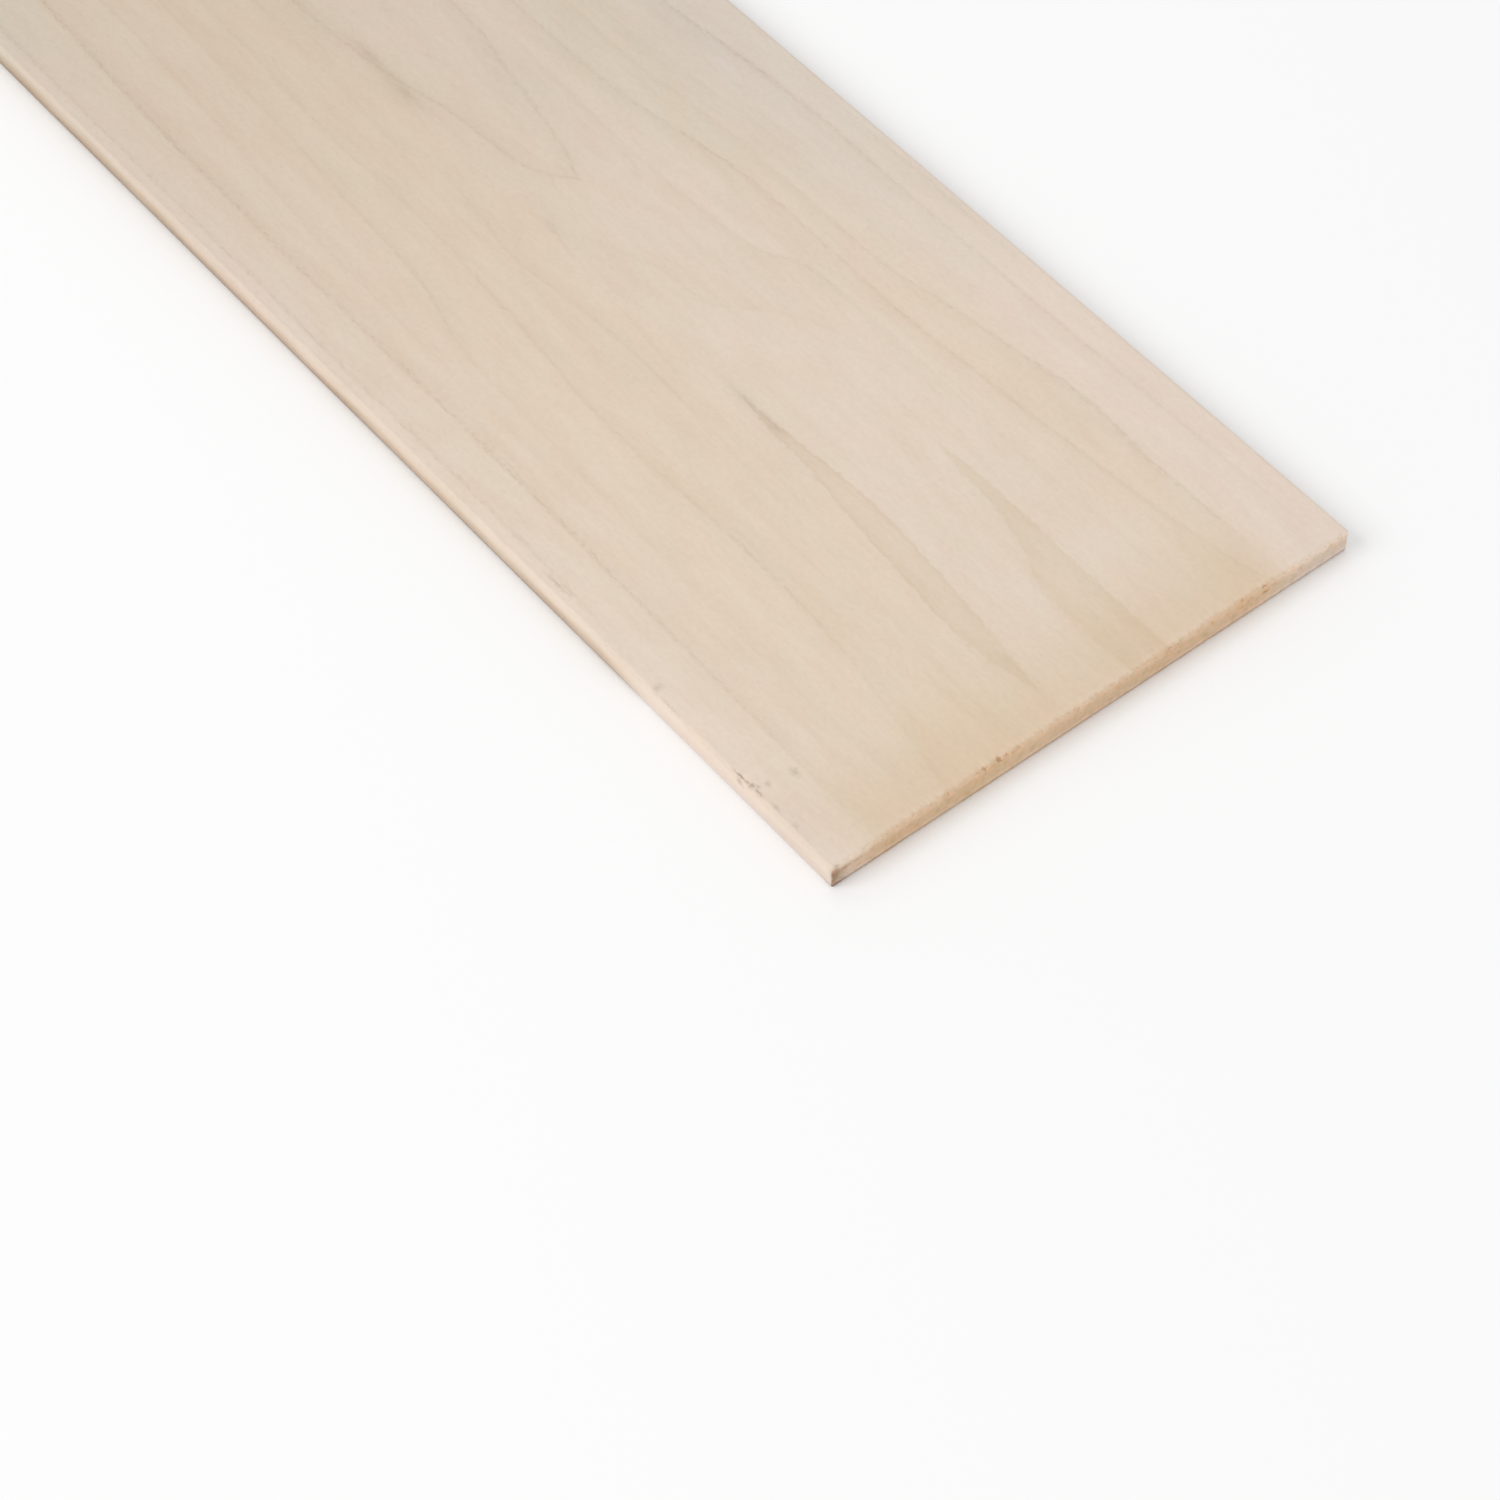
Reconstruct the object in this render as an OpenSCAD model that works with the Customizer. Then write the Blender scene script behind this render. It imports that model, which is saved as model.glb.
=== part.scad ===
// Planed poplar board, a nominal 1/4 x 6 in hobby board, in millimetres.
// It lies flat: +X along the grain, +Y across the width, +Z up through the thickness.
// The origin is the centre of the underside.

/* [Section] */

// Finished width, across the grain
board_width = 139.7; // [38:0.1:300]

// Finished thickness
board_thickness = 6.35; // [3:0.05:40]

// Radius of the four eased arrises that run along the grain
long_arris_radius = 0.8; // [0.2:0.1:1.4]

/* [Length] */

// Length the board is cut to, along the grain
board_length = 914.4; // [150:0.1:3660]

// Radius left by one light sanding stroke round each sawn end, top and bottom
end_arris_radius = 0.4; // [0.1:0.1:1.4]

// Radius of the four upright corners, seen from above
corner_radius = 0.5; // [0.1:0.1:5]

/* [Hidden] */

// Wood colour of a planed poplar face
sapwood_colour = [0.86, 0.79, 0.70];

// Smooth arcs at any radius above
$fn = 64;

// A rectangle centred on the origin, of full size x by y, whose four corners are arcs.
// Flats and arcs are both placed from the same half sizes, so that they meet at any size.
module eased_rectangle(size_x, size_y, radius) {
    half_x = size_x / 2;
    half_y = size_y / 2;
    polygon([
        [half_x, half_y - radius], [half_x - radius, half_y],
        [radius - half_x, half_y], [-half_x, half_y - radius],
        [-half_x, radius - half_y], [radius - half_x, -half_y],
        [half_x - radius, -half_y], [half_x, radius - half_y]
    ]);
    for (x = [-1, 1], y = [-1, 1])
        translate([x * half_x, y * half_y])
            translate([-x * radius, -y * radius])
                circle(r = radius);
}

// The planed section, run along the grain: it eases the four long arrises.
module planed_section() {
    rotate([90, 0, 90])
        linear_extrude(board_length, center = true)
            eased_rectangle(board_width, board_thickness, long_arris_radius);
}

// The side elevation, run across the width: square-sawn ends with their arrises broken.
module side_elevation() {
    rotate([90, 0, 0])
        linear_extrude(board_width, center = true)
            eased_rectangle(board_length, board_thickness, end_arris_radius);
}

// The plan, run through the thickness: it takes the points off the four upright corners.
module plan() {
    linear_extrude(board_thickness, center = true)
        eased_rectangle(board_length, board_width, corner_radius);
}

// One solid piece of stock, which is what its section, elevation and plan have in common.
module poplar_board() {
    color(sapwood_colour)
        translate([0, 0, board_thickness / 2])
            intersection() {
                planed_section();
                side_elevation();
                plan();
            }
}

poplar_board();
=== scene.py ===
"""Looks for a planed poplar board that lies on its underside.

The board's own measures are used throughout, in millimetres:
  along   from the near end (+X) towards the far end
  across  from the front long side (-Y) towards the back one
  height  above the underside
  depth   below the top face
"""

import math

import bpy
import numpy as np
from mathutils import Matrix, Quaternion, Vector


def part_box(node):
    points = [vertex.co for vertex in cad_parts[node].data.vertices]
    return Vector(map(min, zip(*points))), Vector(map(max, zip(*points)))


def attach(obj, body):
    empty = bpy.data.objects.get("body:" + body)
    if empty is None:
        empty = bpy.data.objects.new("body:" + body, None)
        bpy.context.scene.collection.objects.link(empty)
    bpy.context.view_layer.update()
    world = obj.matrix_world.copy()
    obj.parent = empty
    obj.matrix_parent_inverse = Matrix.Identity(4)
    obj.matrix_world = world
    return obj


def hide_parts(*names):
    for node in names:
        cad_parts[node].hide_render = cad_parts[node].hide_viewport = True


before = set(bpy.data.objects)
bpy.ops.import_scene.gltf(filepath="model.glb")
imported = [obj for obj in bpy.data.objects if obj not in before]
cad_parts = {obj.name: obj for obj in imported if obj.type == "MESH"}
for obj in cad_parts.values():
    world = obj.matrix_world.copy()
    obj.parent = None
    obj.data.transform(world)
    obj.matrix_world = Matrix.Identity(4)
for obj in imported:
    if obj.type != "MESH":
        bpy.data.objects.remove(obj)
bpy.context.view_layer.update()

MM = 0.001
low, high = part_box("poplar_board")
LENGTH, WIDTH, THICKNESS = ((high - low) / MM)[:]

# ---------------------------------------------------------------- camera and studio

# Where the photo was taken from, in degrees and millimetres, and the point it looks at
CAMERA_AZIMUTH = 50.08
CAMERA_ELEVATION = 52.30
CAMERA_ROLL = 1.06
CAMERA_DISTANCE = 865.2
CAMERA_LENS = 104.3
CAMERA_SENSOR = 36
AIM_ALONG = 32.9
AIM_ACROSS = 6.0

# The camera's reach and the studio's sizes and distances are in metres.
CAMERA_REACH = (0.01, 50)
FLOOR_HALF = 6.0
FLOOR_TONE = 0.975
SKY_STRENGTH = 0.78
KEY_AZIMUTH = -12
KEY_ELEVATION = 40
KEY_DISTANCE = 4.0
KEY_SIZE = 2.4
KEY_POWER = 60


def place(along, across, height):
    """A point of the board, in metres in the row frame."""
    return Vector((high.x - along * MM, low.y + across * MM, low.z + height * MM))


def direction(azimuth, elevation):
    """The unit vector that points from the board to something at that azimuth and elevation."""
    a, e = math.radians(azimuth), math.radians(elevation)
    return Vector((math.sin(a) * math.cos(e), -math.cos(a) * math.cos(e), math.sin(e)))


def add_camera():
    """The scene's camera, where the photo was taken from."""
    camera = bpy.data.objects.new("camera", bpy.data.cameras.new("camera"))
    bpy.context.scene.collection.objects.link(camera)
    back = direction(CAMERA_AZIMUTH, CAMERA_ELEVATION)
    level = (-back).to_track_quat("-Z", "Y")
    camera.rotation_mode = "QUATERNION"
    camera.rotation_quaternion = level @ Quaternion((0, 0, 1), math.radians(CAMERA_ROLL))
    camera.location = place(AIM_ALONG, AIM_ACROSS, THICKNESS) + back * CAMERA_DISTANCE * MM
    camera.data.lens = CAMERA_LENS
    camera.data.sensor_width = CAMERA_SENSOR
    camera.data.clip_start, camera.data.clip_end = CAMERA_REACH
    bpy.context.scene.camera = camera


def add_floor():
    """A plain white floor, of a matt material."""
    mesh = bpy.data.meshes.new("floor")
    f = FLOOR_HALF
    mesh.from_pydata([(-f, -f, 0), (f, -f, 0), (f, f, 0), (-f, f, 0)], [], [(0, 1, 2, 3)])
    floor = bpy.data.objects.new("floor", mesh)
    bpy.context.scene.collection.objects.link(floor)
    paint = bpy.data.materials.new("floor_white")
    paint.use_nodes = True
    nodes = paint.node_tree.nodes
    nodes.remove(nodes["Principled BSDF"])
    matt = nodes.new("ShaderNodeBsdfDiffuse")
    matt.inputs["Color"].default_value = (FLOOR_TONE, FLOOR_TONE, FLOOR_TONE, 1)
    paint.node_tree.links.new(matt.outputs[0], nodes["Material Output"].inputs["Surface"])
    mesh.materials.append(paint)


def add_lights():
    """An even white sky, and one large soft light from the front and a little to the left."""
    world = bpy.data.worlds.new("studio")
    world.use_nodes = True
    sky = world.node_tree.nodes["Background"]
    sky.inputs["Color"].default_value = (1, 1, 1, 1)
    sky.inputs["Strength"].default_value = SKY_STRENGTH
    bpy.context.scene.world = world
    key = bpy.data.objects.new("key", bpy.data.lights.new("key", "AREA"))
    bpy.context.scene.collection.objects.link(key)
    towards = direction(KEY_AZIMUTH, KEY_ELEVATION)
    key.location = towards * KEY_DISTANCE
    key.rotation_mode = "QUATERNION"
    key.rotation_quaternion = (-towards).to_track_quat("-Z", "Y")
    key.data.size = KEY_SIZE
    key.data.energy = KEY_POWER


# ---------------------------------------------------------------- the board's mesh

# Radii of the planed long arrises, of the sawn ends' and of the four upright corners
LONG_RADIUS = 0.8
END_RADIUS = 0.4
CORNER_RADIUS = 0.5

# Distances in from a long arris. The first four lie on its arc, 15 degrees apart.
ARC_STEPS = [LONG_RADIUS * (1 - math.tan(math.radians(a))) for a in (45, 30, 15, 0)]
ARRIS_STEPS = ARC_STEPS + [1.3]
# Distances down a long side from the top face
SIDE_STEPS = ARC_STEPS + [1.15, 1.6, 2.2, 2.9, 3.6, 4.3, 4.95]
# Columns of faces run the whole length, even from this far in and about this wide.
EDGE_MARGIN = 2.0
COLUMN_PITCH = 1.46
# Rows of faces by their distance in from an end: a column is split in four there, and then in two.
END_ROWS = [0, 0.14, 0.28, 0.45, 0.65, 0.9, 1.2, 1.6, 2.1, 2.7, 3.4]
HALF_ROWS = [4.2, 5.1, 6.2, 7.6]
# Rows further along, as (distance along, step up to it). They lie close where the nicks are.
ROW_STEPS = [(21.5, 2.4), (33.0, 0.45), (64, 1.6)]
ROW_PITCH = 4.6


def stations(stops):
    """Positions from 0 that step evenly up to each stop: stops are (position, step)."""
    places = [0.0]
    for stop, step in stops:
        count = max(1, round((stop - places[-1]) / step))
        places += list(np.linspace(places[-1], stop, count + 1)[1:])
    return places


def rows():
    """(distance along, how finely the faces are divided there), from end to end."""
    fine = [(a, 4) for a in END_ROWS] + [(a, 2) for a in HALF_ROWS]
    last = HALF_ROWS[-1]
    stops = ROW_STEPS + [(LENGTH - last, ROW_PITCH)]
    middle = stations([(stop - last, step) for stop, step in stops])
    whole = fine + [(last + a, 1) for a in middle[1:-1]]
    return whole + [(LENGTH - a, level) for a, level in reversed(fine)]


def columns():
    """(distance across, coarsest level that has it) over a broad face, from side to side."""
    edge = [(a, 1) for a in ARRIS_STEPS]
    count = 4 * round((WIDTH - 2 * EDGE_MARGIN) / COLUMN_PITCH)
    inner = np.linspace(EDGE_MARGIN, WIDTH - EDGE_MARGIN, count + 1)
    ranks = [1 if i % 4 == 0 else 2 if i % 2 == 0 else 4 for i in range(count + 1)]
    return edge + list(zip(inner, ranks)) + [(WIDTH - a, 1) for a in reversed(ARRIS_STEPS)]


def side_heights():
    """Heights up a long side, from the underside to the top."""
    return ARC_STEPS + [THICKNESS - a for a in reversed(SIDE_STEPS)]


def section_loop():
    """The section's outline as (across, height, coarsest level), clockwise from the front top arris."""
    cols, ups = columns(), side_heights()
    top = [(a, THICKNESS, rank) for a, rank in cols]
    back = [(WIDTH, h, 1) for h in reversed(ups[:-1])]
    under = [(a, 0.0, rank) for a, rank in reversed(cols[:-1])]
    front = [(0.0, h, 1) for h in ups[1:-1]]
    return top + back + under + front


def stitch(coarse, fine):
    """Faces between two rings of (spot on the section, vertex). fine has all of coarse's spots."""
    at = {spot: n for n, (spot, _) in enumerate(fine)}
    faces = []
    for (spot, a), (next_spot, b) in zip(coarse, coarse[1:] + coarse[:1]):
        i, j = at[spot], at[next_spot]
        c, d = fine[i][1], fine[j][1]
        if (i + 1) % len(fine) == j:
            faces.append((a, b, d, c))
        else:
            m = fine[i + 1][1]
            faces += [(a, m, c), (a, b, m), (b, d, m)]
    return faces


def cap(ring, along, points, flip):
    """Faces of one sawn end, inside the ring that bounds it. New points are appended."""
    cols, ups = columns(), side_heights()
    n, m = len(cols), len(ups)
    vertex = [v for _, v in ring]
    grid = np.zeros((m, n), int)
    grid[-1, :] = vertex[:n]
    grid[::-1, -1] = vertex[n - 1:n + m - 1]
    grid[0, ::-1] = vertex[n + m - 2:2 * n + m - 2]
    grid[1:-1, 0] = vertex[2 * n + m - 2:]
    for k in range(1, m - 1):
        for j in range(1, n - 1):
            grid[k, j] = len(points)
            points.append((along, cols[j][0], ups[k]))
    faces = []
    for k in range(m - 1):
        for j in range(n - 1):
            face = (grid[k, j], grid[k, j + 1], grid[k + 1, j + 1], grid[k + 1, j])
            faces.append(tuple(int(v) for v in (face[::-1] if flip else face)))
    return faces


def skin():
    """Points (along, across, height) and faces of the closed sharp-edged board."""
    loop = section_loop()
    points, faces, rings = [], [], []
    for along, level in rows():
        ring = []
        for spot, (across, height, rank) in enumerate(loop):
            if rank <= level:
                ring.append((spot, len(points)))
                points.append((along, across, height))
        rings.append(ring)
    for ring, following in zip(rings, rings[1:]):
        if len(ring) <= len(following):
            faces += stitch(ring, following)
        else:
            faces += [face[::-1] for face in stitch(following, ring)]
    faces += cap(rings[0], 0.0, points, False)
    faces += cap(rings[-1], LENGTH, points, True)
    return np.array(points), faces


# wander() runs through this many random numbers, from this one on.
KNOT_COUNT = 4096
FIRST_KNOT = 7
# Seeds of the long arrises, of the ends' arrises and of the saw's marks on each end
LONG_SEED = 10
END_SEED = 30
NEAR_SAW_SEED = 51
FAR_SAW_SEED = 61


def wander(position, pitch, seed):
    """A smooth random number from -1 to 1 that turns about once in every pitch."""
    knots = np.random.default_rng(seed).uniform(-1, 1, KNOT_COUNT)
    steps = np.asarray(position) / pitch + FIRST_KNOT
    cell = np.floor(steps).astype(int)
    part = steps - cell
    part = part * part * (3 - 2 * part)
    return knots[cell % KNOT_COUNT] * (1 - part) + knots[(cell + 1) % KNOT_COUNT] * part


def bump(position, centre, reach):
    """1 at the centre with steep flanks, and nearly 0 beyond 1.4 times the reach."""
    return np.exp(-((position - centre) / reach) ** 4)


def round_over(a, b, size_a, size_b, radius_a, radius_b, a_low, b_low):
    """Draws the corner between two faces onto an arc. a and b run from 0 to their sizes."""
    da = radius_a - (a if a_low else size_a - a)
    db = radius_b - (b if b_low else size_b - b)
    within = (da > 0) & (db > 0)
    ua, ub = np.where(within, da / radius_a, 0), np.where(within, db / radius_b, 0)
    reach = np.hypot(ua, ub)
    shrink = np.where(within, np.maximum(ua, ub) / np.maximum(reach, 1e-9), 1)
    move_a, move_b = da * (1 - shrink) * within, db * (1 - shrink) * within
    return a + (move_a if a_low else -move_a), b + (move_b if b_low else -move_b)


# How unevenly the long arrises were planed, as a share of their radius, and over what length
LONG_UNEVEN = 0.12
LONG_PITCH = 35
# The sawn ends' arrises: (mean radius, raggedness, how much further they reach down than along)
UNDER_ARRIS = (0.42, 0.22, 1.0)
NEAR_ARRIS = (0.55, 0.35, 1.7)
FAR_ARRIS = (0.6, 0.3, 1.6)
LEAST_RADIUS = 0.8 * END_RADIUS
# Bites out of the near end's top arris: (across, half width, depth), as the saw left them
NEAR_CHIPS = [(1.4, 0.7, 0.5), (29.6, 0.8, 0.5), (37.8, 0.55, 0.65), (39.4, 0.65, 0.8), (43.3, 0.65, 0.9),
              (45.4, 0.6, 0.6), (48.4, 0.6, 0.7), (64.5, 0.6, 0.4), (89.5, 0.5, 0.5), (109.5, 0.8, 0.5),
              (115.6, 0.6, 0.6)]
# A chip rounds the arris by this share of its depth.
CHIP_SHARE = 0.6
# Nicks in the front top arris: (along, half width, depth)
FRONT_NICKS = [(23.6, 0.6, 0.7), (25.2, 0.5, 0.9), (27.4, 0.5, 0.6), (28.6, 0.7, 1.0), (30.6, 0.5, 0.6)]
# The saw's lines lean over, and stray by a share of their pitch.
SAW_LEAN = 0.35
SAW_PITCH = 1.35
SAW_STRAY = 0.35
# They, the fuzz on them and the lifted fibres are each this deep.
SAW_DEPTH = 0.03
# How far in from the end the scoring has faded to about a third
SAW_FADE = 0.6


def end_radius(across, seed, mean, spread, chips=()):
    """Radius of a sawn end's arris, ragged from fibres that the saw lifted."""
    coarse, fine = wander(across, 1.9, seed), wander(across, 0.6, seed + 1)
    ragged = np.maximum(mean + spread * (0.6 * coarse + 0.4 * fine), LEAST_RADIUS)
    for centre, reach, depth in chips:
        ragged = ragged + CHIP_SHARE * depth * bump(across, centre, reach)
    return ragged


def saw_marks(across, height, seed):
    """How far a sawn end is scored below its outermost plane."""
    lean = across + SAW_LEAN * height
    lines = 0.5 + 0.5 * np.sin(2 * math.pi * (lean / SAW_PITCH + SAW_STRAY * wander(lean, 5, seed)))
    fuzz = 0.5 + 0.5 * wander(across + 0.15 * height, 0.5, seed + 1)
    lifted = 0.5 + 0.5 * wander(across + 3 * height, 2.2, seed + 2)
    return SAW_DEPTH * (lines + fuzz + lifted)


def ease_long_arrises(along, across, height):
    """Rounds the four long arrises, a little unevenly, and nicks the front top one."""
    for across_low in (True, False):
        for height_low in (True, False):
            seed = LONG_SEED + 2 * across_low + height_low
            radius = LONG_RADIUS * (1 + LONG_UNEVEN * wander(along, LONG_PITCH, seed))
            if across_low and not height_low:
                for centre, reach, depth in FRONT_NICKS:
                    radius = radius + depth * bump(along, centre, reach)
            across, height = round_over(across, height, WIDTH, THICKNESS, radius, radius,
                                        across_low, height_low)
    return across, height


def ease_end(along, across, height, sharp_across, along_low):
    """Rounds the near end's two arrises and two upright corners, or the far end's."""
    top_arris, chips = (NEAR_ARRIS, NEAR_CHIPS) if along_low else (FAR_ARRIS, ())
    for height_low in (True, False):
        seed = END_SEED + 10 * along_low + 3 * height_low
        mean, spread, steep = UNDER_ARRIS if height_low else top_arris
        radius = end_radius(sharp_across, seed, mean, spread, () if height_low else chips)
        along, height = round_over(along, height, LENGTH, THICKNESS, radius, radius * steep,
                                   along_low, height_low)
    for across_low in (True, False):
        radius = np.full_like(along, CORNER_RADIUS)
        along, across = round_over(along, across, LENGTH, WIDTH, radius, radius,
                                   along_low, across_low)
    return along, across, height


def shaped(points):
    """The sharp board's points, eased, chipped and scored as the real one is, in the row frame."""
    sharp_along, sharp_across, sharp_height = points.T
    across, height = ease_long_arrises(sharp_along, sharp_across, sharp_height)
    along = sharp_along
    for along_low in (True, False):
        along, across, height = ease_end(along, across, height, sharp_across, along_low)
    near = np.exp(-sharp_along / SAW_FADE) * saw_marks(sharp_across, sharp_height, NEAR_SAW_SEED)
    far = np.exp((sharp_along - LENGTH) / SAW_FADE) * saw_marks(sharp_across, sharp_height, FAR_SAW_SEED)
    along = along + near - far
    return np.stack([high.x - along * MM, low.y + across * MM, low.z + height * MM], axis=1)


def add_board():
    """The board as one closed mesh, with smooth faces."""
    points, faces = skin()
    mesh = bpy.data.meshes.new("board")
    mesh.from_pydata(shaped(points).tolist(), [], faces)
    mesh.polygons.foreach_set("use_smooth", [True] * len(mesh.polygons))
    mesh.validate()
    board = bpy.data.objects.new("board", mesh)
    bpy.context.scene.collection.objects.link(board)
    return board


# ---------------------------------------------------------------- arithmetic in the material


class Field:
    """A number, vector or colour that varies over the board. Arithmetic on it adds Math nodes."""

    tree = None

    def __init__(self, socket):
        self.socket = socket

    def __add__(self, other):
        return math_node("ADD", self, other)

    def __sub__(self, other):
        return math_node("SUBTRACT", self, other)

    def __rsub__(self, other):
        return math_node("SUBTRACT", other, self)

    def __mul__(self, other):
        return math_node("MULTIPLY", self, other)

    __radd__ = __add__
    __rmul__ = __mul__


def add_node(kind, **settings):
    """A new node of the material, with its settings."""
    node = Field.tree.nodes.new(kind)
    for name, value in settings.items():
        setattr(node, name, value)
    return node


def feed(socket, value):
    """Links a field to a socket, or sets the socket to a plain number or colour."""
    if isinstance(value, Field):
        Field.tree.links.new(value.socket, socket)
    else:
        socket.default_value = value


def math_node(operation, *values):
    """The result of a Math node."""
    node = add_node("ShaderNodeMath", operation=operation)
    for socket, value in zip(node.inputs, values):
        feed(socket, value)
    return Field(node.outputs[0])


def ramp(value, start, end):
    """A smooth step from 0 where the value is start to 1 where it is end."""
    node = add_node("ShaderNodeMapRange", interpolation_type="SMOOTHSTEP")
    feed(node.inputs["Value"], value)
    feed(node.inputs["From Min"], start)
    feed(node.inputs["From Max"], end)
    return Field(node.outputs["Result"])


def curve(value, points):
    """A smooth curve through (value, result) points, level past them. Values are from 0 to 1."""
    node = add_node("ShaderNodeFloatCurve")
    feed(node.inputs["Value"], value)
    line = node.mapping.curves[0]
    node.mapping.use_clip = False
    node.mapping.extend = "HORIZONTAL"
    while len(line.points) < len(points):
        line.points.new(0.5, 0.5)
    for point, spot in zip(line.points, points):
        point.location = spot
        point.handle_type = "AUTO_CLAMPED"
    node.mapping.update()
    return Field(node.outputs[0])


def curve_across(share, points):
    """A smooth curve through (across, result) points, at a share of the board's width."""
    return curve(share, [(a / WIDTH, b) for a, b in points])


def stain(colour, factor, tint):
    """Multiplies the colour by the tint, as far as the factor says."""
    node = add_node("ShaderNodeMix", data_type="RGBA", blend_type="MULTIPLY")
    feed(node.inputs[0], factor)
    feed(node.inputs[6], colour if isinstance(colour, Field) else (*colour, 1))
    feed(node.inputs[7], (*tint, 1))
    return Field(node.outputs[2])


def banded(colour, factor, value, bands):
    """Stains the colour in bands of the value: (from, full at, tint), as far as the factor says."""
    for start, full, tint in bands:
        colour = stain(colour, factor * ramp(value, start, full), tint)
    return colour


# How much wider than its stated reach a patch fades out
BLOB_SPREAD = 1.35


class Board:
    """Where a point of the board lies."""

    def __init__(self):
        coords = add_node("ShaderNodeTexCoord")
        split = add_node("ShaderNodeSeparateXYZ")
        feed(split.inputs[0], Field(coords.outputs["Object"]))
        x, y, z = (Field(socket) for socket in split.outputs)
        self.along = math_node("MULTIPLY_ADD", x, -1 / MM, high.x / MM)
        self.across = math_node("MULTIPLY_ADD", y, 1 / MM, -low.y / MM)
        self.depth = math_node("MULTIPLY_ADD", z, -1 / MM, high.z / MM)
        self.share_along = self.along * (1 / LENGTH)
        self.share_across = self.across * (1 / WIDTH)
        self.from_end = math_node("MINIMUM", self.along, LENGTH - self.along)
        # Across the top face, and on down the front side, where it is below zero
        self.round_front = self.across - self.depth
        self.point = self.joined(self.along, self.across, self.depth)
        facing = add_node("ShaderNodeSeparateXYZ")
        feed(facing.inputs[0], Field(coords.outputs["Normal"]))
        self.facing_end = math_node("ABSOLUTE", Field(facing.outputs[0]))
        # Random changes used more than once: slow ones of tone, uneven outlines, and torn fibres
        self.tone = noise(self, 38, 9, 31)
        self.fray = noise(self, 3.5, 0.8, 12, 2) * 0.35
        self.torn = noise(self, 0.8, 0.55, 97, 2)
        self.find_ring()

    def joined(self, *values):
        """A vector of three values."""
        node = add_node("ShaderNodeCombineXYZ")
        for socket, value in zip(node.inputs, values):
            feed(socket, value)
        return Field(node.outputs[0])

    def find_ring(self):
        """Follows the growth ring through the point up to where it leaves the top face.

        ring is how far across that is. Rings that pass below the face are the inner ones:
        for them it stays at the pith, and inner is how deep their crest lies.
        """
        aside = self.across - PITH_ACROSS
        reach = aside * aside - self.depth * (2 * PITH_DEPTH - self.depth)
        waver = noise(self, 30, 9, 3) * SLOW_WAVER + noise(self, 1.4, 1.8, 8) * FINE_WAVER
        outer = math_node("SQRT", math_node("MAXIMUM", reach, 0)) * math_node("SIGN", aside)
        self.ring = outer + waver + PITH_ACROSS
        sunk = PITH_DEPTH ** 2 - math_node("MAXIMUM", 0 - reach, 0)
        self.inner = PITH_DEPTH - math_node("SQRT", sunk) + waver * INNER_WAVER


def stretch(texture, point, scale, shift):
    """Reads the texture at the point, scaled and then moved by the shift."""
    feed(texture.inputs["Vector"], point)
    texture.texture_mapping.vector_type = "POINT"
    texture.texture_mapping.scale = scale
    texture.texture_mapping.translation = shift


def noise(board, along, across, shift, detail=1):
    """Random, from about -1 to 1, in patches of that length along the grain and across it."""
    node = add_node("ShaderNodeTexNoise")
    stretch(node, board.point, (1 / along, 1 / across, 1 / across), (shift, shift, 0))
    feed(node.inputs["Scale"], 1.0)
    feed(node.inputs["Detail"], detail)
    return math_node("MULTIPLY_ADD", Field(node.outputs[0]), 4, -2)


def blob(point, along, reach_along, across, reach_across):
    """1 in the middle of a soft oval patch, a quarter at two thirds of its reach, and then 0."""
    reach_along *= BLOB_SPREAD
    reach_across *= BLOB_SPREAD
    oval = add_node("ShaderNodeTexGradient", gradient_type="QUADRATIC_SPHERE")
    scale = (1 / reach_along, 1 / reach_across, 0)
    stretch(oval, point, scale, (-along / reach_along, -across / reach_across, 0))
    return Field(oval.outputs["Fac"])


def darkest(point, spots):
    """The strongest at the point of spots (along, reach, across, reach, strength)."""
    result = 0.0
    for *spot, strength in spots:
        result = math_node("MAXIMUM", result, blob(point, *spot) * strength)
    return result


# ---------------------------------------------------------------- growth rings

# The pith ran below the board, so the growth rings are wide arcs round it.
PITH_ACROSS = 76.5
PITH_DEPTH = 55.0
# How far the rings stray from those arcs, slowly and finely, and how much of it the inner ones do
SLOW_WAVER = 0.22
FINE_WAVER = 0.3
INNER_WAVER = 0.3

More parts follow.
